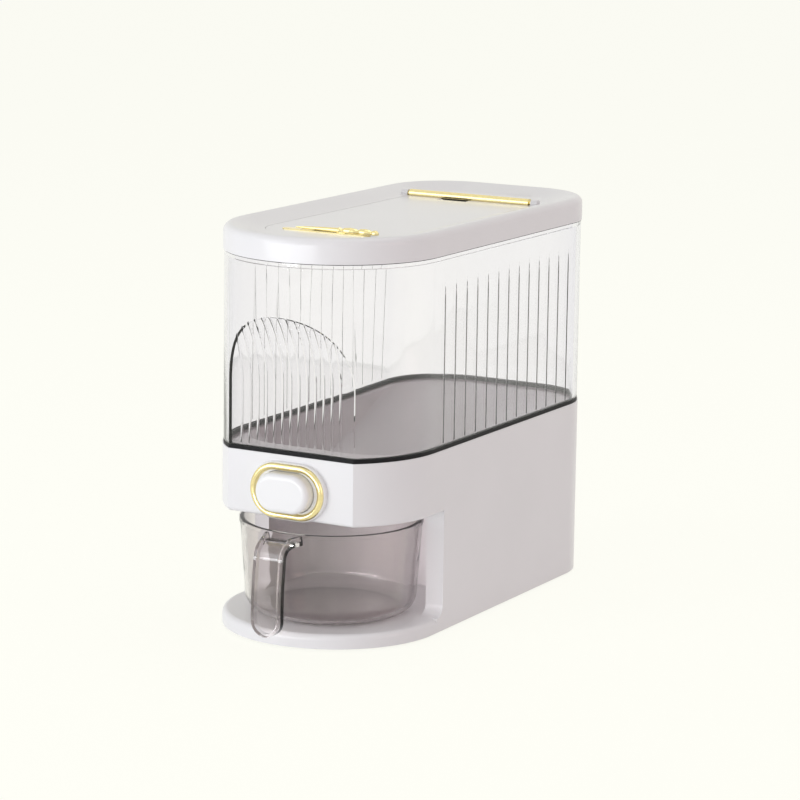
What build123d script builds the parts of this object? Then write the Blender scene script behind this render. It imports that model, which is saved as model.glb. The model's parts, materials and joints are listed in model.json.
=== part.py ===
from build123d import *
import math
import os

# Countertop rice dispenser: a clear fluted tank on a white base, a grey hopper, a push
# button that slides a gate, and a round measuring cup that draws out of the base.
# Millimetres. +Z is up, the front faces -Y, and the origin lies on the floor, at the
# middle of the box around the whole object.

# ---- overall body -------------------------------------------------------------------
body_width = 150.0
body_length = 320.8
body_height = 270.0
rear_corner_radius = 48.0
handle_overhang = 13.2       # how far the cup's handle stands in front of the body
fit_gap = 0.3                # clearance between pieces that are put together by hand
run_gap = 0.4                # clearance beside pieces that slide

y_back = (body_length + handle_overhang) / 2
y_front = y_back - body_length
y_nose = y_front + body_width / 2      # centre of the round front

# ---- base ---------------------------------------------------------------------------
wall = 3.0
pad_height = 1.5
foot_top = 11.0
foot_edge = 4.0
floor_skin = 3.0
band_bottom = 82.0
base_top = 124.2
ceiling_skin = 2.0
rebate_depth = 2.0
rebate_width = 1.5
alcove_depth = 89.4          # from the front of the body to the edge of the side walls
side_post = 13.0             # width of the posts beside the alcove
bay_depth = 66.0             # of the bay behind that edge
bay_corner = 16.0
liner = 2.5
alcove_fillet = 8.0
band_edge = 2.5

bay_half_width = body_width / 2 - side_post
y_alcove = y_front + alcove_depth
y_bay = y_alcove + bay_depth
ceiling_top = band_bottom + ceiling_skin

# ---- flat arch on the front ---------------------------------------------------------
facet_depth = 17.0
arch_spring = 169.4          # where the flat starts to curve out to the round nose
scoop_radius = 75.0
front_flute_count = 13
front_flute_margin = 10.3    # from the edge of the flat to the middle of the outer flutes
front_flute_radius = 1.2
front_flute_depth = 0.5

facet_y = y_front + facet_depth
facet_half = math.sqrt(facet_depth * (body_width - facet_depth))
front_flute_pitch = 2 * (facet_half - front_flute_margin) / (front_flute_count - 1)

# ---- push button and gate -----------------------------------------------------------
button_z = 101.0
button_width = 40.0
button_tall = 26.2
button_proud = 12.6
button_skin = 2.5
button_edge = 3.8
press_travel = 8.0
collar_width = 57.0
collar_tall = 38.4
collar_proud = 3.6
sleeve_skin = 1.8
sleeve_past_wall = 1.5
ring_width = 55.4
ring_tall = 36.8
ring_tube = 2.3
flange_width = 44.6
flange_tall = 30.4
flange_thick = 2.2
rod_radius = 4.0
rod_fit = 0.07
guide_half_width = 25.0
guide_skin = 1.4
guide_back = 23.4            # from the flat arch to the guide's rear plate
guide_plate = 2.5
spring_radius = 7.0
spring_wire = 0.55
spring_turns = 6
spring_gap = 0.1             # between the coil and the disc that presses it
rod_disc_radius = 10.5
rod_disc_thick = 2.0
arm_half_width = 9.0
arm_thick = 3.0

outlet_half_width = 22.0
outlet_length = 7.5
frame_top = 96.0
gate_thick = 3.3
gate_half_width = 30.0
gate_floor_gap = 0.4
frame_half_width = 36.0
frame_length = 36.0
frame_before_outlet = 9.0
frame_clear = 1.0            # between the pressed rod's arm and the gate's frame
chute_wall = 2.0
chute_flange = 1.5
chute_flange_reach = 5.0
chute_drop = 2.5
chute_side_gap = 0.5         # chute beyond the outlet at its sides
chute_end_gap = 1.0          # chute beyond the outlet at front and rear
chute_lap = 0.5
arm_behind_plate = 3.5

gate_top = frame_top - run_gap
gate_bottom = gate_top - gate_thick
wall_inside = facet_y + wall
sleeve_end = wall_inside + sleeve_past_wall
cap_flange_y = sleeve_end + fit_gap
cap_back = cap_flange_y + flange_thick
rod_front = facet_y - button_proud + button_skin
guide_plate_y = facet_y + guide_back
disc_back = cap_back - 1.0
arm_front = guide_plate_y + guide_plate + arm_behind_plate
arm_back = arm_front + arm_thick
y_frame = arm_back + press_travel + frame_clear
y_outlet = y_frame + frame_before_outlet

# ---- hopper and seal ----------------------------------------------------------------
hopper_rim = 2.0
hopper_wall = 2.2
hopper_front = 37.0          # flat shelf in front of the funnel
hopper_margin = 9.0
hopper_corner = 38.0
sole_thick = 2.2
seal_height = 2.7
seal_width = 5.0
tank_inset = 0.6

# ---- tank ---------------------------------------------------------------------------
tank_wall = 3.0
lid_joint_gap = 0.5          # fine joint line between lid and tank
lid_height = 16.6
tank_flange = 3.0
neck_inset = 5.4
neck_wall = 2.2
neck_rise = 5.5
side_flute_count = 13
side_flute_pitch = 14.8
side_flute_start = 87.4      # from the front of the body to the first flute
side_flute_radius = 1.2
side_flute_depth = 0.4
side_flute_tip = 16.0
side_flute_below_lid = 13.4  # from the lid's lower edge down to the flutes' tips

lid_line = body_height - lid_height
side_flute_top = lid_line - side_flute_below_lid
tank_bottom = base_top + seal_height
tank_top = lid_line - lid_joint_gap
neck_top = tank_top + neck_rise

# ---- lid, flap and latch ------------------------------------------------------------
lid_wall = 3.0
lid_panel = 3.0
dish_depth = 4.6
dish_inset = 6.5             # from the body's outline to the top of the dish
dish_floor_inset = 24.0      # and to the foot of its slope
dish_over = 0.5              # by which the dish's cutter stands above the rim
lid_edge = 5.0
lid_seal_width = 2.0
lid_seal_above_edge = 2.6
bar_radius = 3.0
bar_above_panel = 1.3        # of the hinge axis above the dish's floor
bar_from_front = 256.8       # from the front of the body to the hinge axis
bar_end_gap = 0.5            # between the bar's end and the flap's side
boss_radius = 2.6
pin_radius = 1.5
pin_fit = 0.06
boss_gap = 1.6
boss_length = 5.0
pin_end_gap = 0.5
flap_margin = 3.0            # between the foot of the dish's slope and the flap
flap_gap = 0.25
flap_before_axis = 1.5       # of the flap's rear edge, which the bar covers
flap_thick = 2.5
flap_front_from = 38.4       # from the front of the body to the flap's front edge
flap_front_corner = 34.0
flap_rear_corner = 2.0
thumb_from_axis = 7.0        # the thumb notch in front of the bar
thumb_x = -9.5             # its middle, to the left of the flap's
thumb_length = 23.0
thumb_radius = 6.0
thumb_depth = 1.1
latch_from_front = 60.4
latch_length = 66.0
latch_width = 6.4
latch_plate_thick = 0.8
latch_travel = 18.0
latch_axis_rise = 0.8        # of the slider's axis above its flat underside
latch_turning = [            # the slider from end to end: place across, radius
    (-23.0, 0.35),
    (-17.0, 0.9),
    (-5.0, 1.5),
    (8.0, 1.9),
    (10.5, 2.3),
    (12.0, 1.5),
    (14.0, 2.3),
    (18.0, 2.7),
    (22.0, 2.3),
    (24.0, 1.6),
    (26.0, 2.5),
    (29.5, 2.7),
    (32.5, 2.3),
    (34.0, 1.5),
    (35.5, 2.2),
    (37.5, 2.3),
    (39.0, 1.0),
]
knob_rest_x = 12.0
stem_length = 6.0
stem_width = 4.0
tongue_thick = 2.3
tongue_width = 12.0
tongue_past_flap = 3.5
notch_margin = 1.5

flap_half_width = body_width / 2 - dish_floor_inset - flap_margin
bar_half_length = flap_half_width - bar_end_gap
panel_top = body_height - dish_depth
panel_bottom = panel_top - lid_panel
flap_top = panel_top - 0.1
flap_bottom = flap_top - flap_thick
y_bar = y_front + bar_from_front
z_bar = panel_top + bar_above_panel
y_flap = y_front + flap_front_from
y_latch = y_front + latch_from_front
tongue_top = panel_bottom - run_gap

# ---- measuring cup ------------------------------------------------------------------
cup_set_back = 9.1           # from the front of the body to the cup's rim
cup_side_gap = 0.5           # the cup is this much slimmer than the bay, on each side
cup_lip_width = 0.4
cup_taper = 4.4              # the mouth is this much wider than the base, on each side
cup_base_round = 12.0
cup_top = 74.2
cup_wall = 2.5
cup_lip = 2.6
strap_half_width = 10.5
strap_depth = 6.2            # from the front of the handle's rim to the back of its web
strap_web = 2.4
strap_rim = 2.2
strap_bottom = 9.4
strap_drop = 0.6             # of the handle's top below the cup's rim
strap_curve = [(16.0, 0.3), (9.6, 2.8), (4.6, 7.6), (2.4, 17.0), (1.1, 28.5), (0.2, 45.0)]
root_half_width = 13.5
root_reach = 9.0             # over which the handle spreads to the width of its root
root_round = 5.0

cup_radius = bay_half_width - cup_side_gap
cup_mouth_radius = cup_radius - cup_lip_width
cup_base_radius = cup_mouth_radius - cup_taper
y_cup = y_front + cup_set_back + cup_radius
cup_bottom = foot_top + fit_gap
y_strap = y_front - handle_overhang

# ---- underside ----------------------------------------------------------------------
cover_thick = 2.0
pad_radius = 8.0
screw_post_radius = 5.0
screw_radius = 1.5
screw_head_radius = 3.0
screw_head_thick = 1.1
screw_length = 5.8
pad_spots = [(-48.0, 42.0), (48.0, 42.0), (-48.0, 292.0), (48.0, 292.0)]
screw_post_lap = 0.4         # by which the rear posts stand in the side walls
rear_screw_x = body_width / 2 - wall - screw_post_radius + screw_post_lap
screw_spots = [(-46.0, 62.0), (46.0, 62.0), (-rear_screw_x, 240.0), (rear_screw_x, 240.0)]


# ---- helpers ------------------------------------------------------------------------
def plan(inset=0.0, chord=True):
    """The body seen from above, `inset` inside its outline: round nose, soft rear corners."""
    half = body_width / 2 - inset
    back = y_back - inset
    box = Pos(0, (y_nose + back) / 2) * Rectangle(2 * half, back - y_nose)
    box = fillet(box.vertices().group_by(Axis.Y)[-1], rear_corner_radius - inset)
    shape = box + Pos(0, y_nose) * Circle(half)
    if chord:
        shape = shape - Pos(0, facet_y + inset - body_width) * Rectangle(4 * body_width, 2 * body_width)
    return shape


def prism(sketch, low, high):
    """A flat outline raised from one height to another."""
    return Pos(0, 0, low) * extrude(sketch, amount=high - low)


def block(x0, x1, y0, y1, z0, z1):
    """A plain box between three pairs of limits."""
    size = (x1 - x0, y1 - y0, z1 - z0)
    return Pos((x0 + x1) / 2, (y0 + y1) / 2, (z0 + z1) / 2) * Box(*size)


def facing(y, z=button_z, x=0.0):
    """A plane that faces the front, at a distance y along the body."""
    return Plane(origin=(x, y, z), x_dir=(1, 0, 0), z_dir=(0, -1, 0))


def slot_block(width, tall, y0, y1, z=button_z):
    """A block with round ends, seen from the front, between two places along the body."""
    return extrude(facing(y1, z) * SlotOverall(width, tall), amount=y1 - y0)


def rod(radius, start, end):
    """A round bar between two points."""
    axis = Vector(*end) - Vector(*start)
    return Solid.make_cylinder(radius, axis.length, Plane(origin=start, z_dir=axis))


def scoop(inset):
    """The space in front of the flat, for a wall that lies `inset` inside the body.

    From the side it is straight, then an arc that curves out: it leaves the round nose
    along an arch.
    """
    side = Plane(origin=(0, 0, 0), x_dir=(0, 1, 0), z_dir=(1, 0, 0))
    y, low, radius = facet_y + inset, tank_bottom - 30, scoop_radius
    lines = [
        Line((y, low), (y, arch_spring)),
        CenterArc((y - radius, arch_spring), radius, 0, 60),
    ]
    end = lines[1] @ 1
    lines += [Line(end, (y - radius, end.Y)), Line((y - radius, end.Y), (y - radius, low))]
    lines.append(Line((y - radius, low), (y, low)))
    return extrude(side * make_face(lines), amount=body_width, both=True)


def put(name, shape):
    """Write one piece under its name."""
    export_step(shape, f"parts/{name}.step")


# ---- base: housing, cover, pads and screws ------------------------------------------
def make_housing():
    behind = block(-body_width, body_width, y_alcove, y_back + wall, 0, body_height)
    upper = prism(plan(), band_bottom, base_top)
    rear = prism(plan(chord=False), pad_height, band_bottom) & behind
    foot = prism(plan(chord=False), pad_height, foot_top)
    foot = fillet(foot.faces().sort_by(Axis.Z)[-1].edges(), foot_edge)
    bay = Pos(0, (y_alcove + y_bay) / 2) * Rectangle(2 * bay_half_width, bay_depth)
    bay = fillet(bay.vertices().group_by(Axis.Y)[-1], bay_corner)
    rear -= prism(bay, foot_top, band_bottom)
    body = upper + rear + foot
    for side in (-1, 1):
        x0, x1 = sorted((side * bay_half_width, side * body_width / 2))
        y0, z1 = y_alcove - alcove_fillet, foot_top + alcove_fillet
        web = block(x0, x1, y0, y_alcove + 1, foot_top - foot_edge - 1, z1)
        body += web - rod(alcove_fillet, (x0 - 1, y0, z1), (x1 + 1, y0, z1))
    rim = body.edges().filter_by_position(Axis.Z, band_bottom - 0.1, band_bottom + 0.1)
    rim = rim.filter_by_position(Axis.Y, y_front - 1, y_alcove - 1)
    body = fillet(rim, band_edge)

    chamber = prism(plan(wall), ceiling_top, base_top + 1)
    chamber += prism(plan(rebate_width), base_top - rebate_depth, base_top + 1)
    deep = block(-body_width, body_width, y_bay + liner, y_back + wall, 0, body_height)
    chamber += prism(plan(wall, chord=False), 0, base_top - 4) & deep
    inside = body_width / 2 - wall
    for side in (-1, 1):
        edges = sorted((side * (bay_half_width + liner), side * inside))
        low, high = pad_height - 1, band_bottom
        chamber += block(*edges, y_alcove + liner, y_bay + liner + 1, low, high)
    chamber += prism(plan(wall, chord=False), 0, foot_top - floor_skin)
    body -= chamber

    hole = slot_block(*sleeve_hole(), facet_y - 10, wall_inside + 0.5)
    body -= hole
    body -= chute_block(chute_wall + fit_gap, band_bottom - 1, ceiling_top + 1)
    cover_top = pad_height + cover_thick
    for x, y in screw_spots:
        top = foot_top - floor_skin if y_front + y < y_bay else cover_top + screw_length + 6
        post = Pos(x, y_front + y, (cover_top + top) / 2)
        body += post * Cylinder(screw_post_radius, top - cover_top)
        body -= Pos(x, y_front + y, cover_top + screw_length / 2) * Cylinder(
            screw_radius + 0.05, screw_length + 1
        )
    return body


def sleeve_hole():
    """Width and height of the opening that the collar's sleeve passes through."""
    grow = 2 * (run_gap + sleeve_skin + fit_gap)
    return button_width + grow, button_tall + grow


def chute_block(grow, low, high):
    """A block around the outlet, larger than it by `grow` on each side."""
    half = outlet_half_width + chute_side_gap + grow
    y0 = y_outlet - chute_end_gap - grow
    y1 = y_outlet + outlet_length + chute_end_gap + grow
    return block(-half, half, y0, y1, low, high)


def make_cover():
    cover = prism(plan(wall + fit_gap, chord=False), pad_height, pad_height + cover_thick)
    for x, y in screw_spots:
        cover -= Pos(x, y_front + y, pad_height + 1) * Cylinder(screw_radius + 0.2, 10)
        cover -= Pos(x, y_front + y, pad_height) * Cylinder(
            screw_head_radius + 0.2, 2 * screw_head_thick
        )
    return cover


def make_pads():
    pads = []
    for x, y in pad_spots:
        pad = Pos(x, y_front + y, pad_height / 2) * Cylinder(pad_radius, pad_height)
        pads.append(pad)
    return Compound(pads)


def make_screws():
    screws = []
    for x, y in screw_spots:
        place = Pos(x, y_front + y, 0)
        head = Pos(0, 0, pad_height + screw_head_thick / 2) * Cylinder(screw_head_radius, screw_head_thick)
        shank = Pos(0, 0, pad_height + screw_length / 2) * Cylinder(screw_radius, screw_length)
        screws.append(place * (head + shank))
    return Compound(screws)


# ---- front: collar, ring, button, rod, spring, guide --------------------------------
def make_ring():
    outline = SlotOverall(ring_width - 2 * ring_tube, ring_tall - 2 * ring_tube)
    path = (facing(facet_y - collar_proud) * outline).faces()[0].outer_wire()
    start = Plane(origin=path @ 0, z_dir=path % 0)
    return sweep(start * Circle(ring_tube), path=path)


def make_collar():
    width = button_width + 2 * run_gap
    tall = button_tall + 2 * run_gap
    collar = slot_block(collar_width, collar_tall, facet_y - collar_proud, facet_y)
    front_edges = collar.faces().sort_by(Axis.Y)[0].edges()
    collar = fillet(front_edges, 1.2)
    sleeve = slot_block(width + 2 * sleeve_skin, tall + 2 * sleeve_skin, facet_y - 0.5, sleeve_end)
    collar += sleeve
    collar -= slot_block(width, tall, facet_y - 20, sleeve_end + 5)
    return collar - make_ring()


def make_button():
    front = facet_y - button_proud
    cap = slot_block(button_width, button_tall, front, cap_back)
    cap = fillet(cap.faces().sort_by(Axis.Y)[0].edges(), button_edge)
    cap += slot_block(flange_width, flange_tall, cap_flange_y, cap_back)
    cap -= slot_block(
        button_width - 2 * button_skin, button_tall - 2 * button_skin, front + button_skin, cap_back + 1
    )
    socket = rod(rod_radius + 2.5, (0, front + button_skin, button_z), (0, disc_back - rod_disc_thick, button_z))
    cap += socket
    cap -= rod(rod_radius + 0.05, (0, front + button_skin, button_z), (0, cap_back + 1, button_z))
    return cap


def make_rod():
    stem = rod(rod_radius, (0, rod_front, button_z), (0, arm_back, button_z))
    stem += rod(rod_disc_radius, (0, disc_back - rod_disc_thick, button_z), (0, disc_back, button_z))
    stem += block(
        -arm_half_width, arm_half_width, arm_front, arm_back, gate_bottom, button_z + rod_radius + 0.5
    )
    return stem


def make_guide():
    low = ceiling_top
    high = button_z + flange_tall / 2 + 1 + guide_skin
    guide = block(-guide_half_width, guide_half_width, wall_inside, guide_plate_y + guide_plate, low, high)
    guide -= slot_block(flange_width + 1.4, flange_tall + 1.2, wall_inside - 1, guide_plate_y)
    reach = (0, wall_inside, button_z), (0, guide_plate_y + guide_plate + 1, button_z)
    guide -= rod(rod_radius + rod_fit, *reach)
    return guide


def make_spring():
    """One unbroken wire: a coil whose quarter turns are pairs of tangent arcs."""
    start = disc_back + spring_wire + spring_gap
    length = guide_plate_y - spring_wire - start
    steps = 4 * spring_turns
    rise = length / steps

    def point(k):
        turn = k * math.pi / 2
        return Vector(spring_radius * math.cos(turn), start + k * rise, button_z + spring_radius * math.sin(turn))

    def heading(k):
        turn = k * math.pi / 2
        slope = rise / (math.pi / 2)
        return Vector(-spring_radius * math.sin(turn), slope, spring_radius * math.cos(turn)).normalized()

    arcs = []
    for k in range(steps):
        p0, p1, t0, t1 = point(k), point(k + 1), heading(k), heading(k + 1)
        v, t = p1 - p0, t0 + t1
        a = 4 - t.dot(t)
        b = 2 * v.dot(t)
        d = (-b + math.sqrt(b * b + 4 * a * v.dot(v))) / (2 * a)
        q0, q1 = p0 + t0 * d, p1 - t1 * d
        middle = (q0 + q1) * 0.5
        arcs.append(TangentArc(p0, middle, tangent=t0))
        arcs.append(TangentArc(middle, p1, tangent=q1 - q0))
    path = Wire(arcs)
    section = Plane(origin=path @ 0, z_dir=path % 0) * Circle(spring_wire)
    gap = rise * 4 - 2 * spring_wire
    print(f"spring: {spring_turns} turns, least gap between turns {gap:.2f} mm")
    return sweep(section, path=path)


# ---- gate, its frame and the chute --------------------------------------------------
def make_gate():
    back = y_frame + frame_length - press_travel - 3
    gate = block(-gate_half_width, gate_half_width, arm_back, back, gate_bottom, gate_top)
    y1 = y_outlet - 0.5
    window = block(
        -outlet_half_width, outlet_half_width, y1 - outlet_length - 0.5, y1, gate_bottom - 1, gate_top + 1
    )
    return gate - window


def make_frame():
    frame = block(
        -frame_half_width, frame_half_width, y_frame, y_frame + frame_length, ceiling_top, frame_top
    )
    half = gate_half_width + run_gap
    frame -= block(
        -half, half, y_frame - 1, y_frame + frame_length + 1, gate_bottom - gate_floor_gap, frame_top + 1
    )
    frame -= chute_block(0, ceiling_top - 1, frame_top)
    frame -= chute_block(chute_flange_reach + fit_gap, ceiling_top - 1, ceiling_top + chute_flange)
    return frame


def make_chute():
    chute = chute_block(chute_wall, band_bottom - chute_drop, ceiling_top + chute_lap)
    chute += chute_block(chute_flange_reach, ceiling_top, ceiling_top + chute_flange)
    return chute - chute_block(0, band_bottom - 2 * chute_drop, ceiling_top + 2 * chute_flange)


# ---- hopper, seal and tank ----------------------------------------------------------
def funnel(grow, drop):
    """The funnel's surface as a solid: `grow` wider on each side and `drop` lower."""
    half = body_width / 2 - hopper_margin
    y0 = facet_y + hopper_front - 8
    y1 = y_back - hopper_margin - 1.4
    top = RectangleRounded(2 * half + 2 * grow, y1 - y0 + 2 * grow, hopper_corner + grow)
    throat = RectangleRounded(
        2 * outlet_half_width + 2 * grow, outlet_length + 2 * grow, 1.5 + grow
    )
    top = Pos(0, (y0 + y1) / 2, base_top - drop) * top
    throat = Pos(0, y_outlet + outlet_length / 2, frame_top + 2 - drop) * throat
    return loft([throat, top], ruled=True)


def make_hopper():
    shelf = prism(plan(rebate_width + fit_gap), base_top - hopper_rim, base_top)
    sole = block(
        -frame_half_width, frame_half_width, y_frame, y_frame + frame_length, frame_top, frame_top + sole_thick
    )
    tray = shelf + funnel(hopper_wall, 2.0) + sole
    tray -= funnel(0.0, 0.0)
    tray -= block(
        -outlet_half_width,
        outlet_half_width,
        y_outlet,
        y_outlet + outlet_length,
        frame_top - 1,
        frame_top + 3,
    )
    return tray


def make_seal():
    ring = prism(plan(tank_inset), base_top, tank_bottom)
    return ring - prism(plan(tank_inset + seal_width), base_top - 1, tank_bottom + 1)


def make_tank():
    inner = tank_inset + tank_wall
    tank = prism(plan(tank_inset, chord=False), tank_bottom, tank_top) - scoop(tank_inset)
    hollow = prism(plan(inner, chord=False), tank_bottom - 1, tank_top - tank_flange) - scoop(inner)
    neck = prism(plan(neck_inset, chord=False), tank_top - 1, neck_top)
    tank = tank - hollow + neck
    tank -= prism(plan(neck_inset + neck_wall, chord=False), tank_top - tank_flange - 1, neck_top + 1)

    tools = []
    x = body_width / 2 - tank_inset - side_flute_depth + side_flute_radius
    low = tank_bottom + 2
    straight = side_flute_top - side_flute_tip
    for k in range(side_flute_count):
        y = y_front + side_flute_start + k * side_flute_pitch
        for side in (-1, 1):
            tools.append(Pos(side * x, y, (low + straight) / 2) * Cylinder(side_flute_radius, straight - low))
            tip = Cone(side_flute_radius, side_flute_radius - side_flute_depth - 0.05, side_flute_tip)
            tools.append(Pos(side * x, y, (straight + side_flute_top) / 2) * tip)

    y = facet_y + tank_inset
    flute = front_flute_radius
    bend = scoop_radius - flute + front_flute_depth
    for k in range(front_flute_count):
        x = (k - (front_flute_count - 1) / 2) * front_flute_pitch
        start = (x, y - flute + front_flute_depth)
        ring = Plane(origin=(x, y - scoop_radius, arch_spring), x_dir=(0, 1, 0), z_dir=(1, 0, 0))
        path = Wire([Line((*start, low), (*start, arch_spring)), ring * CenterArc((0, 0), bend, 0, 50)])
        tools.append(sweep(Pos(*start, low) * Circle(flute), path=path))
    return tank - tools


# ---- lid, flap, hinge bar and latch -------------------------------------------------
def flap_outline(grow=0.0):
    half = flap_half_width + grow
    y0, y1 = y_flap - grow, y_bar - flap_before_axis + grow
    shape = Pos(0, (y0 + y1) / 2) * Rectangle(2 * half, y1 - y0)
    shape = fillet(shape.vertices().group_by(Axis.Y)[0], flap_front_corner + grow)
    return fillet(shape.vertices().group_by(Axis.Y)[-1], flap_rear_corner + grow)


def dish():
    """The shallow bowl in the lid's top: a sloped side round a flat floor."""
    slope = (dish_floor_inset - dish_inset) / dish_depth
    floor = Pos(0, 0, panel_top) * plan(dish_floor_inset, chord=False)
    rim = Pos(0, 0, body_height + dish_over) * plan(dish_inset - slope * dish_over, chord=False)
    return loft([floor, rim], ruled=True)


def make_lid():
    lid = prism(plan(chord=False), lid_line, body_height)
    lid = fillet(lid.faces().sort_by(Axis.Z)[-1].edges(), lid_edge)
    lid -= dish()
    lid -= prism(plan(lid_wall, chord=False), lid_line - 1, panel_bottom)
    lid -= prism(flap_outline(flap_gap), panel_bottom - 1, body_height + 1)
    half = flap_half_width + flap_gap
    y0, y1 = y_bar - 2 * bar_radius, y_bar + bar_radius + fit_gap
    lid -= block(-half, half, y0, y1, panel_bottom - 1, body_height + 1)
    x0 = bar_half_length + boss_gap
    for side in (-1, 1):
        a, b = sorted((side * x0, side * (x0 + boss_length)))
        lid += block(a, b, y_bar - boss_radius, y_bar + boss_radius, panel_top - 1, z_bar)
        lid += rod(boss_radius, (a, y_bar, z_bar), (b, y_bar, z_bar))
        bore = (side * (x0 - 1), y_bar, z_bar), (side * (x0 + boss_length - 0.8), y_bar, z_bar)
        lid -= rod(pin_radius + pin_fit, *bore)
    half = tongue_width / 2 + notch_margin
    y0 = y_flap - tongue_past_flap - notch_margin
    lid -= block(knob_rest_x - half, knob_rest_x + half, y0, y_flap, panel_bottom - 1, panel_top + 1)
    return lid


def make_lid_seal():
    outer, inner = lid_wall, lid_wall + lid_seal_width
    low = lid_line + lid_seal_above_edge
    ring = prism(plan(outer, chord=False), low, panel_bottom)
    return ring - prism(plan(inner, chord=False), low - 1, panel_bottom + 1)


def make_flap():
    flap = prism(flap_outline(), flap_bottom, flap_top)
    flap -= rod(bar_radius, (-flap_half_width - 9, y_bar, z_bar), (flap_half_width + 9, y_bar, z_bar))
    y, z = y_bar - thumb_from_axis, flap_top + thumb_radius - thumb_depth
    reach = (thumb_x - thumb_length / 2, y, z), (thumb_x + thumb_length / 2, y, z)
    flap -= rod(thumb_radius, *reach)
    x0 = knob_rest_x - latch_travel - stem_length / 2 - run_gap
    x1 = knob_rest_x + stem_length / 2 + run_gap
    half = stem_width / 2 + run_gap
    return flap - block(x0, x1, y_latch - half, y_latch + half, flap_bottom - 1, flap_top + 1)


def make_bar():
    bar = rod(bar_radius, (-bar_half_length, y_bar, z_bar), (bar_half_length, y_bar, z_bar))
    end = bar_half_length + boss_gap + boss_length - 0.8 - pin_end_gap
    return bar + rod(pin_radius, (-end, y_bar, z_bar), (end, y_bar, z_bar))


def make_latch_plate():
    plate = prism(Pos(0, y_latch) * SlotOverall(latch_length, latch_width), flap_top, flap_top + latch_plate_thick)
    x0 = knob_rest_x - latch_travel - stem_length / 2 - run_gap
    x1 = knob_rest_x + stem_length / 2 + run_gap
    half = stem_width / 2 + run_gap
    return plate - block(x0, x1, y_latch - half, y_latch + half, flap_top - 1, flap_top + 3)


def make_slider():
    """A turned spindle with a flat underside: thin to the left, beaded to the right."""
    low = flap_top + latch_plate_thick + fit_gap
    level = low + latch_axis_rise
    ends = latch_turning[0][0], latch_turning[-1][0]
    side = Plane(origin=(0, y_latch, level), x_dir=(1, 0, 0), z_dir=(0, -1, 0))
    outline = [(ends[0], 0), *latch_turning, (ends[1], 0)]
    spindle = revolve(side * make_face(Polyline(*outline, close=True)), Axis((0, y_latch, level), (1, 0, 0)))
    spindle -= block(-body_width, body_width, y_latch - 9, y_latch + 9, low - 9, low)
    x0, x1 = knob_rest_x - stem_length / 2, knob_rest_x + stem_length / 2
    return spindle + block(x0, x1, y_latch - stem_width / 2, y_latch + stem_width / 2, tongue_top, low + 1)


def make_tongue():
    x0, x1 = knob_rest_x - tongue_width / 2, knob_rest_x + tongue_width / 2
    y0 = y_flap - tongue_past_flap
    return block(x0, x1, y0, y_latch + stem_width, tongue_top - tongue_thick, tongue_top)


# ---- measuring cup ------------------------------------------------------------------
def cup_profile(grow):
    """Half section of the cup, `grow` inside its outer surface, from the axis outwards."""
    base = cup_base_radius - grow
    low = cup_bottom + grow
    top = cup_top if grow == 0 else cup_top + 1
    slope = (cup_mouth_radius - cup_base_radius) / (cup_top - cup_bottom)
    rim = base + slope * (top - low)
    points = [(0, low), (base, low), (rim, top), (0, top)]
    face = make_face(Polyline(*points, close=True))
    corner = face.vertices().sort_by_distance((base, low))[0]
    return fillet(corner, cup_base_round - grow)


def strap_face(start, end):
    """Side view of the handle between two depths behind its front, from the cup down."""
    side = Plane(origin=(0, 0, 0), x_dir=(0, 1, 0), z_dir=(1, 0, 0))
    y_rim, top = y_cup - cup_radius, cup_top - strap_drop
    front = [(y_rim + 4.0, top), (y_rim, top)]
    front += [(y_strap + out, top - down) for out, down in strap_curve]
    front.append((y_strap, strap_bottom))

    def shifted(depth):
        points = []
        for k, (y, z) in enumerate(front):
            y0, z0 = front[max(k - 1, 0)]
            y1, z1 = front[min(k + 1, len(front) - 1)]
            size = math.hypot(y1 - y0, z1 - z0)
            points.append((y - (z1 - z0) / size * depth, z + (y1 - y0) / size * depth))
        return points

    near, far = shifted(start), shifted(end)
    edges = [Spline(*near), Line(near[-1], far[-1]), Spline(*far), Line(far[0], near[0])]
    return side * make_face(edges)


def strap_mask(inset):
    """Room for the handle: round at the bottom, spreading towards the cup."""
    half, root = strap_half_width - inset, root_half_width - inset
    y_rim = y_cup - cup_radius
    tall = 2 * (cup_top - strap_bottom)
    centre = strap_bottom + strap_half_width
    shape = Pos(0, centre - button_z) * Circle(half)
    shape += Pos(0, centre + tall / 2 - button_z) * Rectangle(2 * half, tall)
    narrow = extrude(facing(y_rim + 12) * shape, amount=80)
    corner = [(-root, y_rim + 12), (-root, y_rim - 1), (-half, y_rim - root_reach), (-half, y_strap - 5)]
    outline = corner + [(-x, y) for x, y in reversed(corner)]
    flare = make_face(Polyline(*outline, close=True))
    bend = [v for v in flare.vertices() if abs(v.Y - (y_rim - root_reach)) < 0.1]
    flare = fillet(bend, root_round)
    return narrow, prism(flare, centre, cup_top)


def make_strap():
    """The handle: a channel that opens forwards, with a raised rim round its edge."""
    narrow, flare = strap_mask(0.0)
    upper = block(-50, 50, y_strap - 20, y_cup, cup_top - strap_curve[3][1], cup_top + 5)
    body = extrude(strap_face(0.0, strap_depth), amount=root_half_width + 2, both=True)
    body = (body & narrow - upper) + (body & flare & upper)
    inner, inner_flare = strap_mask(strap_rim)
    pocket = extrude(strap_face(-8.0, strap_depth - strap_web), amount=root_half_width + 2, both=True)
    return body - (pocket & inner - upper) - (pocket & inner_flare & upper)


def make_cup():
    place = Plane(origin=(0, y_cup, 0), x_dir=(1, 0, 0), z_dir=(0, -1, 0))
    axis = Axis((0, y_cup, 0), (0, 0, 1))
    solid = revolve(place * cup_profile(0.0), axis)
    lip = Pos(0, y_cup, cup_top - cup_lip / 2) * Cylinder(cup_radius, cup_lip)
    hollow = revolve(place * cup_profile(cup_wall), axis)

    return solid + lip + (make_strap() - solid) - hollow


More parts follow.
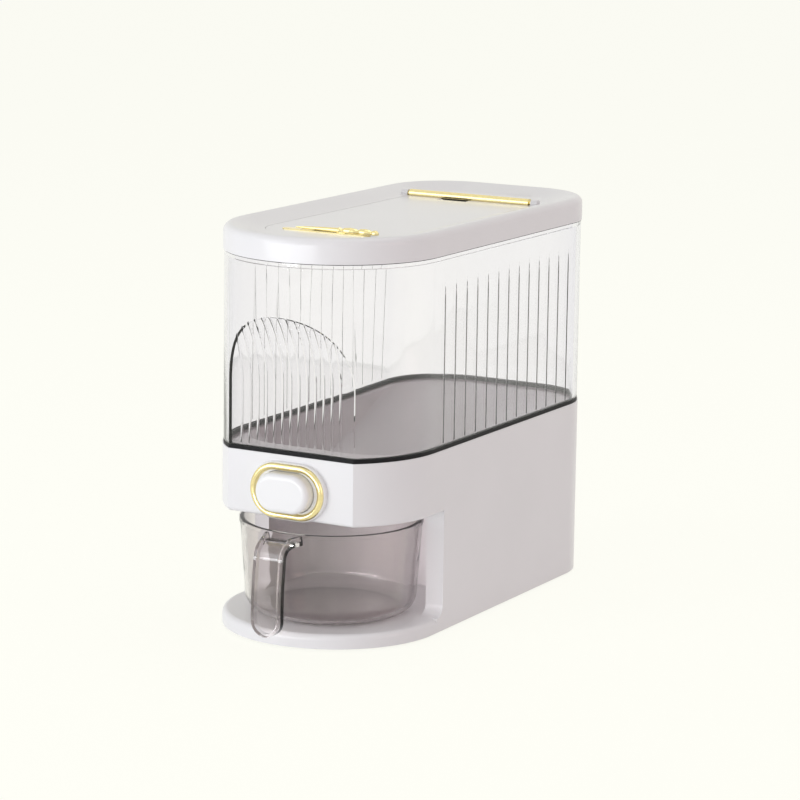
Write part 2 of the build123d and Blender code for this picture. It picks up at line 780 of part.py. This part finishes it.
# ---- build every piece --------------------------------------------------------------
def main():
    os.makedirs("parts", exist_ok=True)
    pieces = {
        "base_housing": make_housing,
        "underside_cover": make_cover,
        "rubber_feet": make_pads,
        "base_screws": make_screws,
        "button_collar": make_collar,
        "button_ring": make_ring,
        "button_cap": make_button,
        "push_rod": make_rod,
        "button_guide": make_guide,
        "return_spring": make_spring,
        "gate_slide": make_gate,
        "gate_frame": make_frame,
        "outlet_chute": make_chute,
        "hopper": make_hopper,
        "tank_seal": make_seal,
        "tank": make_tank,
        "lid_frame": make_lid,
        "lid_seal": make_lid_seal,
        "lid_flap": make_flap,
        "hinge_bar": make_bar,
        "latch_plate": make_latch_plate,
        "latch_slider": make_slider,
        "latch_tongue": make_tongue,
        "measuring_cup": make_cup,
    }
    for name, make in pieces.items():
        put(name, make())


main()
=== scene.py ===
import json
import math

import bmesh
import bpy
from mathutils import Matrix, Vector

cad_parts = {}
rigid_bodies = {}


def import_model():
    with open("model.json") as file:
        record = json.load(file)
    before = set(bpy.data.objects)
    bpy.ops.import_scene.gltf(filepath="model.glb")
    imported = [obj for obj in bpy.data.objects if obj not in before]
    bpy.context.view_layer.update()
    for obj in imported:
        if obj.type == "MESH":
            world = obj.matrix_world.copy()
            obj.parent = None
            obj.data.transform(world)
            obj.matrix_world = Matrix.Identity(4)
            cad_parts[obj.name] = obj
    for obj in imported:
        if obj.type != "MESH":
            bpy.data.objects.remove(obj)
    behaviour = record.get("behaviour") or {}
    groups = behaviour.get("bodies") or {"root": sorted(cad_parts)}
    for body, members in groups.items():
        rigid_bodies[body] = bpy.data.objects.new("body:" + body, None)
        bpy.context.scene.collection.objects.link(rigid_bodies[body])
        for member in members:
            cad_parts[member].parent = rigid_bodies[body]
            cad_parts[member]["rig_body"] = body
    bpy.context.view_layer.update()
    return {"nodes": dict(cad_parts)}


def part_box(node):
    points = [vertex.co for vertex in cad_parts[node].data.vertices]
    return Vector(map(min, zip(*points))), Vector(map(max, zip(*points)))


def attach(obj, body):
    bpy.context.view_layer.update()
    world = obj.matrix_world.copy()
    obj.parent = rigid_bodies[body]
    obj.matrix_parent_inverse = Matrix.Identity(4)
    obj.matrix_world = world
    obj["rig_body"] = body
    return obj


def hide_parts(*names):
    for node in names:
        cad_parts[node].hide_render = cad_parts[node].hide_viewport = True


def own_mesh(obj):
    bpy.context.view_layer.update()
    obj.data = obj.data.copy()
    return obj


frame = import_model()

bl_info = {
    "name": "Rice Dispenser Looks",
    "version": (1, 0, 0),
    "blender": (4, 5, 0),
    "location": "3D View > Sidebar > Dispenser",
    "description": "Dresses the dispenser: clear fluted tank, white base, gold trim, smoky cup",
    "category": "Object",
}

SHADOW_LINE_INSET = 0.0007     # from the lid's outline to the outer edge of the painted shadow line under it
SHADOW_LINE_TUCK = 0.0001      # of the painted shadow line into the lid
NOTCH_SHADOW_GAP = 0.0005       # between the painted notch shadow and the hinge bar
NOTCH_SHADOW_DEEP = 0.0006      # of the notch shadow's underside below the flap's top
NOTCH_SHADOW_PROUD = 0.0003     # of the notch shadow's top above the flap's, and the rounding of its edge
NOTCH_SHADOW_OUTLINE = (        # across, and towards the bar, in metres
    (0.0030, 0.0), (-0.0215, 0.0), (-0.0190, -0.0012),
    (-0.0165, -0.0034), (-0.0120, -0.0030), (0.0010, -0.0016),
)

WELD = 2e-6            # corners nearer than this are one
SLIVER = 1e-7          # edges shorter than this go

PLASTIC_IOR = 1.5
CLEAR_IOR = 1.49
CLEAR_GLOSS = 0.02
CLEAR_LETS_THROUGH = 0.97
CUP_EDGE_SHADE = 0.22  # of the cup's tint where it is seen edge on
ZINC = (0.56, 0.56, 0.58)
FEET_BLACK = (0.035, 0.035, 0.036)
PALE_SILICONE = (0.66, 0.66, 0.65)

FLOOR_SEGMENTS = 96
FLOOR_GLOW = 0.90      # share of the floor's paleness that no shadow reaches
FLOOR_SHADOW = 0.14    # share that the lamps light, so that the object's shadow shows
FLOOR_PAPER = ((0.90, 0.90, 0.90), (0.94, 0.94, 0.94))
AMBIENT = 0.50
AMBIENT_TINT = (1.0, 0.985, 0.99)
LAMPS = (              # name, place, aim, size, watts, tint
    ("front_left_softbox", (-1.5, -2.0, 1.1), (0, 0, 0.14), (1.4, 1.4), 12.5, (0.90, 0.95, 1.0)),
    ("low_front_softbox", (-0.45, -1.6, 0.13), (0, 0, 0.07), (1.6, 0.22), 9.0, (0.94, 0.97, 1.0)),
    ("right_softbox", (2.2, -0.2, 0.7), (0, 0, 0.12), (1.2, 1.2), 5.0, (1.0, 0.66, 0.66)),
    ("top_softbox", (0.2, 0.3, 2.2), (0, 0, 0.2), (1.6, 1.6), 8.0, (1.0, 1.0, 1.0)),
)

CAMERA_PLACE = (1.05578, -1.86270, 0.55899)
CAMERA_AZIMUTH = 0.514  # from the front towards the right, in radians
CAMERA_TILT = 0.1938    # above the level
CAMERA_ROLL = 0.0135
CAMERA_LENS = 143.55    # in millimetres, on a sensor of the next value
CAMERA_SENSOR = 36.0
CAMERA_CLIP = (0.05, 60.0)


# ---- sizes and colours a user would change -------------------------------------------
class DispenserColours(bpy.types.PropertyGroup):
    shell_white: bpy.props.FloatVectorProperty(
        name="Shell White", description="Satin white of the base and the lid",
        default=(0.828, 0.818, 0.826), subtype="COLOR", min=0.0, max=1.0,
    )
    trim_white: bpy.props.FloatVectorProperty(
        name="Button White", description="Brighter white of the push button and its collar",
        default=(0.875, 0.870, 0.870), subtype="COLOR", min=0.0, max=1.0,
    )
    inner_white: bpy.props.FloatVectorProperty(
        name="Inner White", description="Plain white of the gate, chute and guide",
        default=(0.700, 0.700, 0.690), subtype="COLOR", min=0.0, max=1.0,
    )
    gold: bpy.props.FloatVectorProperty(
        name="Pale Gold", description="Polished gold plating of the ring, bar and latch",
        default=(0.830, 0.710, 0.370), subtype="COLOR", min=0.0, max=1.0,
    )
    tank_tint: bpy.props.FloatVectorProperty(
        name="Tank Tint", description="Faint tint of the clear tank, seen face on",
        default=(0.990, 0.983, 1.000), subtype="COLOR", min=0.0, max=1.0,
    )
    tank_edge: bpy.props.FloatVectorProperty(
        name="Tank Edge", description="Cool tint of the tank's wall where it is seen edge on",
        default=(0.640, 0.640, 0.780), subtype="COLOR", min=0.0, max=1.0,
    )
    hopper_grey: bpy.props.FloatVectorProperty(
        name="Hopper Grey", description="Smoky grey of the hopper in the tank's bottom",
        default=(0.315, 0.262, 0.275), subtype="COLOR", min=0.0, max=1.0,
    )
    cup_smoke: bpy.props.FloatVectorProperty(
        name="Cup Smoke", description="Smoky clear plastic of the measuring cup",
        default=(0.915, 0.880, 0.880), subtype="COLOR", min=0.0, max=1.0,
    )
    # Black of the real silicone seal, and also of the painted shade under the lid and in the
    # thumb notch.
    seal_and_shade_black: bpy.props.FloatVectorProperty(
        name="Seal Black", description="Black silicone line between base and tank",
        default=(0.008, 0.008, 0.009), subtype="COLOR", min=0.0, max=1.0,
    )
    background: bpy.props.FloatVectorProperty(
        name="Background", description="Pale colour of the floor and what lies behind",
        default=(0.991, 0.991, 0.922), subtype="COLOR", min=0.0, max=1.0,
    )


class DispenserSizes(bpy.types.PropertyGroup):
    crease_angle: bpy.props.FloatProperty(
        name="Crease Angle", description="Faces that meet at more than this keep a crisp edge",
        default=math.radians(30.0), subtype="ANGLE", unit="ROTATION",
    )
    grain_pitch: bpy.props.FloatProperty(
        name="Grain Pitch", description="Spacing of the fine grain in the moulded plastic",
        default=0.0012, unit="LENGTH", precision=5,
    )
    # Height of the painted shadow line: a dark sheet under the lid's edge, where the gap to the
    # tank is in shade.
    shadow_line_height: bpy.props.FloatProperty(
        name="Joint Line", description="Height of the dark lip between the lid and the tank",
        default=0.0004, unit="LENGTH", precision=5,
    )
    floor_radius: bpy.props.FloatProperty(
        name="Floor Radius", description="Radius of the floor under the object",
        default=12.0, unit="LENGTH",
    )


# ---- finishes ------------------------------------------------------------------------
def new_finish(name):
    """A fresh node material and its parts: the tree, its shader and its output."""
    finish = bpy.data.materials.new(name)
    finish.use_nodes = True
    tree = finish.node_tree
    return finish, tree, tree.nodes["Principled BSDF"], tree.nodes["Material Output"]


def patches(tree, scale, detail=3.0, stretch=(1.0, 1.0, 1.0)):
    """Soft irregular noise fixed to the piece, with `scale` features in a metre."""
    place = tree.nodes.new("ShaderNodeTexCoord")
    turn = tree.nodes.new("ShaderNodeMapping")
    turn.inputs["Scale"].default_value = stretch
    noise = tree.nodes.new("ShaderNodeTexNoise")
    noise.inputs["Scale"].default_value = scale
    noise.inputs["Detail"].default_value = detail
    tree.links.new(place.outputs["Object"], turn.inputs["Vector"])
    tree.links.new(turn.outputs["Vector"], noise.inputs["Vector"])
    return noise.outputs["Fac"]


def between(tree, value, low, high):
    """A number that wanders between two limits as the noise does."""
    span = tree.nodes.new("ShaderNodeMapRange")
    span.inputs["From Min"].default_value = 0.3
    span.inputs["From Max"].default_value = 0.7
    span.inputs["To Min"].default_value = low
    span.inputs["To Max"].default_value = high
    tree.links.new(value, span.inputs["Value"])
    return span.outputs["Result"]


def blended(tree, value, first, second):
    """A colour that wanders between two colours as the noise does."""
    mix = tree.nodes.new("ShaderNodeMix")
    mix.data_type = "RGBA"
    mix.inputs["A"].default_value = (*first, 1.0)
    mix.inputs["B"].default_value = (*second, 1.0)
    tree.links.new(value, mix.inputs["Factor"])
    return mix.outputs["Result"]


def relief(tree, shader, value, depth, strength):
    """Fine unevenness of the surface."""
    bump = tree.nodes.new("ShaderNodeBump")
    bump.inputs["Strength"].default_value = strength
    bump.inputs["Distance"].default_value = depth
    tree.links.new(value, bump.inputs["Height"])
    tree.links.new(bump.outputs["Normal"], shader.inputs["Normal"])


def shade(colour, factor):
    """The colour made darker or lighter, and never past white."""
    return tuple(min(1.0, c * factor) for c in colour)


def moulded_plastic(name, colour, gloss, grain_pitch, wander=0.03, coat=0.0, grain_depth=0.01):
    """Opaque moulded plastic: slight flow marks in its colour, fine grain in its gloss."""
    finish, tree, shader, _ = new_finish(name)
    flow = between(tree, patches(tree, 14.0, detail=4.0), 0.0, 1.0)
    tree.links.new(
        blended(tree, flow, shade(colour, 1.0 - wander), shade(colour, 1.0 + wander / 2)),
        shader.inputs["Base Color"],
    )
    grain = patches(tree, 1.0 / grain_pitch, detail=2.0)
    tree.links.new(between(tree, grain, gloss * 0.95, gloss * 1.05), shader.inputs["Roughness"])
    if grain_depth:
        relief(tree, shader, grain, depth=grain_pitch * grain_depth, strength=0.03)
    shader.inputs["IOR"].default_value = PLASTIC_IOR
    shader.inputs["Coat Weight"].default_value = coat
    shader.inputs["Coat Roughness"].default_value = 0.08
    return finish


def gold_plate(name, colour):
    """Polished gold plating with faint handling haze."""
    finish, tree, shader, _ = new_finish(name)
    haze = patches(tree, 260.0)
    tree.links.new(
        blended(tree, between(tree, haze, 0.0, 1.0), shade(colour, 0.95), shade(colour, 1.04)),
        shader.inputs["Base Color"],
    )
    shader.inputs["Metallic"].default_value = 1.0
    tree.links.new(between(tree, haze, 0.14, 0.24), shader.inputs["Roughness"])
    relief(tree, shader, patches(tree, 900.0, detail=2.0), depth=0.00003, strength=0.15)
    return finish


def soft_rubber(name, colour, gloss, specular=0.35):
    """Matt rubber or silicone with a dusty grain."""
    finish, tree, shader, _ = new_finish(name)
    dust = patches(tree, 700.0)
    tree.links.new(
        blended(tree, between(tree, dust, 0.0, 1.0), colour, shade(colour, 1.3)),
        shader.inputs["Base Color"],
    )
    tree.links.new(between(tree, dust, gloss * 0.9, gloss * 1.1), shader.inputs["Roughness"])
    relief(tree, shader, dust, depth=0.00005, strength=0.2)
    shader.inputs["Specular IOR Level"].default_value = specular
    return finish


def zinc_steel(name, colour):
    """Zinc plated steel with short drawn streaks."""
    finish, tree, shader, _ = new_finish(name)
    streaks = patches(tree, 900.0, stretch=(1.0, 1.0, 0.15))
    tree.links.new(
        blended(tree, between(tree, streaks, 0.0, 1.0), shade(colour, 0.85), colour),
        shader.inputs["Base Color"],
    )
    shader.inputs["Metallic"].default_value = 1.0
    tree.links.new(between(tree, streaks, 0.28, 0.42), shader.inputs["Roughness"])
    relief(tree, shader, streaks, depth=0.00002, strength=0.2)
    return finish


def clear_plastic(name, face_colour, edge_colour, edge_from):
    """Clear moulded plastic: tinted where it is seen edge on, and letting lamps through."""
    finish, tree, shader, out = new_finish(name)
    edge = tree.nodes.new("ShaderNodeLayerWeight")
    edge.inputs["Blend"].default_value = edge_from
    flow = between(tree, patches(tree, 30.0), 0.0, 1.0)
    face = blended(tree, flow, shade(face_colour, 0.985), face_colour)
    mix = tree.nodes.new("ShaderNodeMix")
    mix.data_type = "RGBA"
    mix.inputs["B"].default_value = (*edge_colour, 1.0)
    tree.links.new(edge.outputs["Facing"], mix.inputs["Factor"])
    tree.links.new(face, mix.inputs["A"])
    tree.links.new(mix.outputs["Result"], shader.inputs["Base Color"])
    shader.inputs["Transmission Weight"].default_value = 1.0
    shader.inputs["IOR"].default_value = CLEAR_IOR
    haze = patches(tree, 120.0, detail=2.0)
    tree.links.new(
        between(tree, haze, CLEAR_GLOSS * 0.7, CLEAR_GLOSS * 1.3), shader.inputs["Roughness"]
    )
    clear = tree.nodes.new("ShaderNodeBsdfTransparent")
    clear.inputs["Color"].default_value = (*shade(face_colour, CLEAR_LETS_THROUGH), 1.0)
    path = tree.nodes.new("ShaderNodeLightPath")
    both = tree.nodes.new("ShaderNodeMixShader")
    tree.links.new(path.outputs["Is Shadow Ray"], both.inputs["Fac"])
    tree.links.new(shader.outputs["BSDF"], both.inputs[1])
    tree.links.new(clear.outputs["BSDF"], both.inputs[2])
    tree.links.new(both.outputs["Shader"], out.inputs["Surface"])
    return finish


def merged(node):
    """The node's mesh as one welded bmesh."""
    form = bmesh.new()
    form.from_mesh(frame["nodes"][node].data)
    bmesh.ops.remove_doubles(form, verts=form.verts, dist=WELD)
    bmesh.ops.dissolve_degenerate(form, edges=form.edges, dist=SLIVER)
    return form


def crease(form, angle):
    """Smooth faces with crisp edges where they meet at more than the angle."""
    for face in form.faces:
        face.smooth = True
    for edge in form.edges:
        edge.smooth = len(edge.link_faces) == 2 and edge.calc_face_angle(math.pi) < angle


def set_up(form, name, finish, body):
    """Turns a bmesh into a finished piece that rides on its body."""
    mesh = bpy.data.meshes.new(name)
    form.to_mesh(mesh)
    form.free()
    if "custom_normal" in mesh.attributes:
        mesh.attributes.remove(mesh.attributes["custom_normal"])
    mesh.materials.append(finish)
    piece = bpy.data.objects.new(name, mesh)
    bpy.context.scene.collection.objects.link(piece)
    weigh = piece.modifiers.new("even_normals", "WEIGHTED_NORMAL")
    weigh.keep_sharp = True
    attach(piece, body)
    return piece


def dressed(node, name, finish):
    """A finished copy of a CAD node, which stands for it."""
    form = merged(node)
    crease(form, bpy.context.scene.dispenser_sizes.crease_angle)
    body = frame["nodes"][node]["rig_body"]
    piece = set_up(form, name, finish, body)
    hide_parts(node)
    return piece


def repaint(node, finish):
    """Gives a CAD node that stays as it is its finish."""
    data = frame["nodes"][node].data
    data.materials.clear()
    data.materials.append(finish)


def spread(form, low, high, new_low, new_high):
    """Moves and stretches a bmesh from one box to another."""
    factor = [(b - a) / (d - c) for a, b, c, d in zip(new_low, new_high, low, high)]
    bmesh.ops.translate(form, verts=form.verts, vec=-Vector(low))
    bmesh.ops.scale(form, verts=form.verts, vec=factor)
    bmesh.ops.translate(form, verts=form.verts, vec=Vector(new_low))


def lid_shadow_line(finish, height):
    """Painted shadow: a thin dark sheet, shaped from the lid seal, along the shaded gap between
    the lid's edge and the tank.
    """
    form = merged("lid_seal")
    low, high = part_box("lid_seal")
    lid_low, lid_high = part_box("lid_frame")
    new_low = (lid_low[0] + SHADOW_LINE_INSET, lid_low[1] + SHADOW_LINE_INSET, lid_low[2] - height)
    new_high = (lid_high[0] - SHADOW_LINE_INSET, lid_high[1] - SHADOW_LINE_INSET, lid_low[2] + SHADOW_LINE_TUCK)
    spread(form, low, high, new_low, new_high)
    crease(form, bpy.context.scene.dispenser_sizes.crease_angle)
    set_up(form, "lid_shadow_sheet", finish, "lid")


def thumb_notch_shadow(finish):
    """Painted shadow: a dark piece lying in the thumb notch in front of the hinge bar, where the
    notch is in shade, pointed to its left.
    """
    form = bmesh.new()
    bmesh.ops.create_circle(form, cap_ends=True, segments=len(NOTCH_SHADOW_OUTLINE), radius=1.0)
    bar_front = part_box("hinge_bar")[0][1]
    flap_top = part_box("lid_flap")[1][2]
    for vert, (across, along) in zip(form.verts, NOTCH_SHADOW_OUTLINE):
        vert.co = (across, bar_front - NOTCH_SHADOW_GAP + along, flap_top - NOTCH_SHADOW_DEEP)
    bmesh.ops.recalc_face_normals(form, faces=form.faces)
    lifted = bmesh.ops.extrude_face_region(form, geom=form.faces[:])
    tops = [v for v in lifted["geom"] if isinstance(v, bmesh.types.BMVert)]
    bmesh.ops.translate(form, verts=tops, vec=(0, 0, NOTCH_SHADOW_DEEP + NOTCH_SHADOW_PROUD))
    bmesh.ops.recalc_face_normals(form, faces=form.faces)
    edges = [e for e in form.edges if all(v in tops for v in e.verts)]
    bmesh.ops.bevel(
        form, geom=edges, offset=NOTCH_SHADOW_PROUD, segments=2, affect="EDGES", profile=0.5, material=-1
    )
    crease(form, bpy.context.scene.dispenser_sizes.crease_angle)
    set_up(form, "thumb_notch_shadow", finish, "flap")


class DISPENSER_OT_white_shells(bpy.types.Operator):
    """Base, lid and flap in satin white plastic"""

    bl_idname = "dispenser.white_shells"
    bl_label = "White Shells"

    def execute(self, context):
        colours, sizes = context.scene.dispenser_colours, context.scene.dispenser_sizes
        white = moulded_plastic(
            "satin_white", colours.shell_white, gloss=0.30, grain_pitch=sizes.grain_pitch,
            wander=0.02, coat=0.15,
        )
        dressed("base_housing", "base_shell", white)
        dressed("lid_frame", "lid_rim", white)
        dressed("lid_flap", "lid_panel", white)
        # One dark finish for both pieces of painted shade below.
        black = soft_rubber("painted_shade_black", colours.seal_and_shade_black, gloss=0.5, specular=0.15)
        # Painted shadow: a dark line under the lid's edge.
        lid_shadow_line(black, sizes.shadow_line_height)
        # Painted shadow: a dark piece in the thumb notch.
        thumb_notch_shadow(black)
        repaint("underside_cover", white)
        return {"FINISHED"}


class DISPENSER_OT_button(bpy.types.Operator):
    """Push button and its raised collar in a brighter white"""

    bl_idname = "dispenser.button"
    bl_label = "Button and Collar"

    def execute(self, context):
        colours, sizes = context.scene.dispenser_colours, context.scene.dispenser_sizes
        white = moulded_plastic(
            "button_white", colours.trim_white, gloss=0.26, grain_pitch=sizes.grain_pitch,
            wander=0.015, coat=0.2,
        )
        dressed("button_cap", "button_face", white)
        dressed("button_collar", "button_surround", white)
        return {"FINISHED"}


class DISPENSER_OT_gold_trim(bpy.types.Operator):
    """Gold ring, hinge bar and latch"""

    bl_idname = "dispenser.gold_trim"
    bl_label = "Gold Trim"

    def execute(self, context):
        gold = gold_plate("pale_gold", context.scene.dispenser_colours.gold)
        dressed("button_ring", "gold_ring", gold)
        dressed("hinge_bar", "gold_bar", gold)
        dressed("latch_plate", "gold_latch_plate", gold)
        dressed("latch_slider", "gold_latch_knob", gold)
        return {"FINISHED"}


class DISPENSER_OT_clear_tank(bpy.types.Operator):
    """Clear fluted tank and the black seal under it"""

    bl_idname = "dispenser.clear_tank"
    bl_label = "Clear Tank"

    def execute(self, context):
        colours = context.scene.dispenser_colours
        clear = clear_plastic(
            "clear_tank", colours.tank_tint, colours.tank_edge, edge_from=0.2
        )
        dressed("tank", "tank_wall", clear)
        black = soft_rubber("black_silicone", colours.seal_and_shade_black, gloss=0.5, specular=0.15)
        dressed("tank_seal", "seal_line", black)
        return {"FINISHED"}


class DISPENSER_OT_hopper(bpy.types.Operator):
    """Smoky hopper in the bottom of the tank"""

    bl_idname = "dispenser.hopper"
    bl_label = "Hopper"

    def execute(self, context):
        colours, sizes = context.scene.dispenser_colours, context.scene.dispenser_sizes
        grey = moulded_plastic(
            "smoky_hopper", colours.hopper_grey, gloss=0.26, grain_pitch=sizes.grain_pitch,
            wander=0.05, coat=0.3, grain_depth=0.0,
        )
        dressed("hopper", "hopper_tray", grey)
        return {"FINISHED"}


class DISPENSER_OT_measuring_cup(bpy.types.Operator):
    """Round measuring cup with its channel handle in smoky clear plastic"""

    bl_idname = "dispenser.measuring_cup"
    bl_label = "Measuring Cup"

    def execute(self, context):
        colours = context.scene.dispenser_colours
        edge = shade(colours.cup_smoke, CUP_EDGE_SHADE)
        smoke = clear_plastic("smoky_clear", colours.cup_smoke, edge, edge_from=0.15)
        dressed("measuring_cup", "smoky_cup", smoke)
        return {"FINISHED"}


class DISPENSER_OT_inner_works(bpy.types.Operator):
    """Gate, chute, guide, spring, screws and feet"""

    bl_idname = "dispenser.inner_works"
    bl_label = "Inner Works"

    def execute(self, context):
        colours, sizes = context.scene.dispenser_colours, context.scene.dispenser_sizes
        plain = moulded_plastic(
            "inner_white", colours.inner_white, gloss=0.45, grain_pitch=sizes.grain_pitch
        )
        for node in (
            "push_rod", "button_guide", "gate_slide", "gate_frame", "outlet_chute", "latch_tongue"
        ):
            repaint(node, plain)
        steel = zinc_steel("zinc_steel", ZINC)
        spring = dressed("return_spring", "coil_spring", steel)
        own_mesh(spring)
        repaint("base_screws", steel)
        repaint("rubber_feet", soft_rubber("feet_rubber", FEET_BLACK, gloss=0.7))
        repaint("lid_seal", soft_rubber("pale_silicone", PALE_SILICONE, gloss=0.4))
        return {"FINISHED"}


# ---- stage ---------------------------------------------------------------------------
def seen_or_mirrored(tree):
    """1 for what the camera sees directly, mirrored or through glass; 0 for light itself."""
    path = tree.nodes.new("ShaderNodeLightPath")
    first = tree.nodes.new("ShaderNodeMath")
    first.operation = "MAXIMUM"
    second = tree.nodes.new("ShaderNodeMath")
    second.operation = "MAXIMUM"
    tree.links.new(path.outputs["Is Camera Ray"], first.inputs[0])
    tree.links.new(path.outputs["Is Glossy Ray"], first.inputs[1])
    tree.links.new(first.outputs[0], second.inputs[0])
    tree.links.new(path.outputs["Is Transmission Ray"], second.inputs[1])
    return second.outputs[0]


def pale_world(colour):
    """Soft white light all round, and the background's colour where the camera sees it."""
    world = bpy.data.worlds.new("pale_room")
    bpy.context.scene.world = world
    world.use_nodes = True
    tree = world.node_tree
    light = tree.nodes["Background"]
    light.inputs["Color"].default_value = (*AMBIENT_TINT, 1.0)
    light.inputs["Strength"].default_value = AMBIENT
    seen = tree.nodes.new("ShaderNodeBackground")
    seen.inputs["Color"].default_value = (*colour, 1.0)
    both = tree.nodes.new("ShaderNodeMixShader")
    tree.links.new(seen_or_mirrored(tree), both.inputs["Fac"])
    tree.links.new(light.outputs[0], both.inputs[1])
    tree.links.new(seen.outputs[0], both.inputs[2])
    tree.links.new(both.outputs[0], tree.nodes["World Output"].inputs["Surface"])


def pale_floor(colour, radius):
    """A round floor in the background's colour that still shows the object's shadow."""
    form = bmesh.new()
    bmesh.ops.create_circle(form, cap_ends=True, segments=FLOOR_SEGMENTS, radius=radius)
    mesh = bpy.data.meshes.new("pale_floor")
    form.to_mesh(mesh)
    form.free()
    finish, tree, shader, out = new_finish("floor_paper")
    fleck = patches(tree, 60.0)
    tree.links.new(between(tree, fleck, 0.8, 0.95), shader.inputs["Roughness"])
    tree.links.new(blended(tree, fleck, *FLOOR_PAPER), shader.inputs["Base Color"])
    shader.inputs["Specular IOR Level"].default_value = 0.1
    glow = tree.nodes.new("ShaderNodeEmission")
    glow.inputs["Color"].default_value = (*colour, 1.0)
    glow.inputs["Strength"].default_value = FLOOR_GLOW
    shadow = tree.nodes.new("ShaderNodeBsdfDiffuse")
    shadow.inputs["Color"].default_value = (*shade(colour, FLOOR_SHADOW), 1.0)
    pale = tree.nodes.new("ShaderNodeAddShader")
    tree.links.new(glow.outputs[0], pale.inputs[0])
    tree.links.new(shadow.outputs[0], pale.inputs[1])
    both = tree.nodes.new("ShaderNodeMixShader")
    tree.links.new(seen_or_mirrored(tree), both.inputs["Fac"])
    tree.links.new(shader.outputs["BSDF"], both.inputs[1])
    tree.links.new(pale.outputs[0], both.inputs[2])
    tree.links.new(both.outputs[0], out.inputs["Surface"])
    mesh.materials.append(finish)
    floor = bpy.data.objects.new("pale_floor", mesh)
    bpy.context.scene.collection.objects.link(floor)


def soft_lamp(name, place, aim, size, power, tint):
    """A rectangular lamp turned towards its aim."""
    data = bpy.data.lights.new(name, "AREA")
    data.shape = "RECTANGLE"
    data.size, data.size_y = size
    data.energy = power
    data.color = tint
    lamp = bpy.data.objects.new(name, data)
    bpy.context.scene.collection.objects.link(lamp)
    lamp.matrix_world = Matrix.Translation(place) @ (
        (Vector(aim) - Vector(place)).to_track_quat("-Z", "Y").to_matrix().to_4x4()
    )


def camera():
    """The photograph's own view: a long lens from the front right, slightly above."""
    azimuth, tilt, roll = CAMERA_AZIMUTH, CAMERA_TILT, CAMERA_ROLL
    side = Vector((math.cos(azimuth), math.sin(azimuth), 0.0))
    back = Vector(
        (math.sin(azimuth) * math.cos(tilt), -math.cos(azimuth) * math.cos(tilt), math.sin(tilt))
    )
    up = back.cross(side)
    right = side * math.cos(roll) + up * math.sin(roll)
    top = up * math.cos(roll) - side * math.sin(roll)
    data = bpy.data.cameras.new("photo_camera")
    data.lens, data.sensor_width = CAMERA_LENS, CAMERA_SENSOR
    data.clip_start, data.clip_end = CAMERA_CLIP
    eye = bpy.data.objects.new("photo_camera", data)
    eye.matrix_world = Matrix.Translation(CAMERA_PLACE) @ Matrix(
        (right, top, back)
    ).transposed().to_4x4()
    bpy.context.scene.collection.objects.link(eye)
    bpy.context.scene.camera = eye


class DISPENSER_OT_stage(bpy.types.Operator):
    """Pale floor, soft studio light and the photograph's camera"""

    bl_idname = "dispenser.stage"
    bl_label = "Stage"

    def execute(self, context):
        colours, sizes = context.scene.dispenser_colours, context.scene.dispenser_sizes
        context.scene.view_settings.view_transform = "Standard"
        pale_world(colours.background)
        pale_floor(colours.background, sizes.floor_radius)
        for lamp in LAMPS:
            soft_lamp(*lamp)
        camera()
        return {"FINISHED"}


# ---- sidebar and registration --------------------------------------------------------
STEPS = (
    DISPENSER_OT_white_shells,
    DISPENSER_OT_button,
    DISPENSER_OT_gold_trim,
    DISPENSER_OT_clear_tank,
    DISPENSER_OT_hopper,
    DISPENSER_OT_measuring_cup,
    DISPENSER_OT_inner_works,
    DISPENSER_OT_stage,
)


class DISPENSER_PT_sidebar(bpy.types.Panel):
    """Steps, colours and sizes of the dispenser"""

    bl_idname = "DISPENSER_PT_sidebar"
    bl_label = "Rice Dispenser"
    bl_space_type = "VIEW_3D"
    bl_region_type = "UI"
    bl_category = "Dispenser"

    def draw(self, context):
        for step in STEPS:
            self.layout.operator(step.bl_idname)
        for group in (context.scene.dispenser_colours, context.scene.dispenser_sizes):
            for name in group.__annotations__:
                self.layout.prop(group, name)


CLASSES = (DispenserColours, DispenserSizes, *STEPS, DISPENSER_PT_sidebar)


def register():
    for item in CLASSES:
        bpy.utils.register_class(item)
    bpy.types.Scene.dispenser_colours = bpy.props.PointerProperty(type=DispenserColours)
    bpy.types.Scene.dispenser_sizes = bpy.props.PointerProperty(type=DispenserSizes)


def unregister():
    del bpy.types.Scene.dispenser_sizes
    del bpy.types.Scene.dispenser_colours
    for item in reversed(CLASSES):
        bpy.utils.unregister_class(item)


def plain(box):
    """A box's two corners as plain lists."""
    return [[float(x) for x in corner] for corner in box]


def main():
    register()
    bpy.ops.dispenser.white_shells()
    bpy.ops.dispenser.button()
    bpy.ops.dispenser.gold_trim()
    bpy.ops.dispenser.clear_tank()
    bpy.ops.dispenser.hopper()
    bpy.ops.dispenser.measuring_cup()
    bpy.ops.dispenser.inner_works()
    bpy.ops.dispenser.stage()


if __name__ == "__main__":
    main()
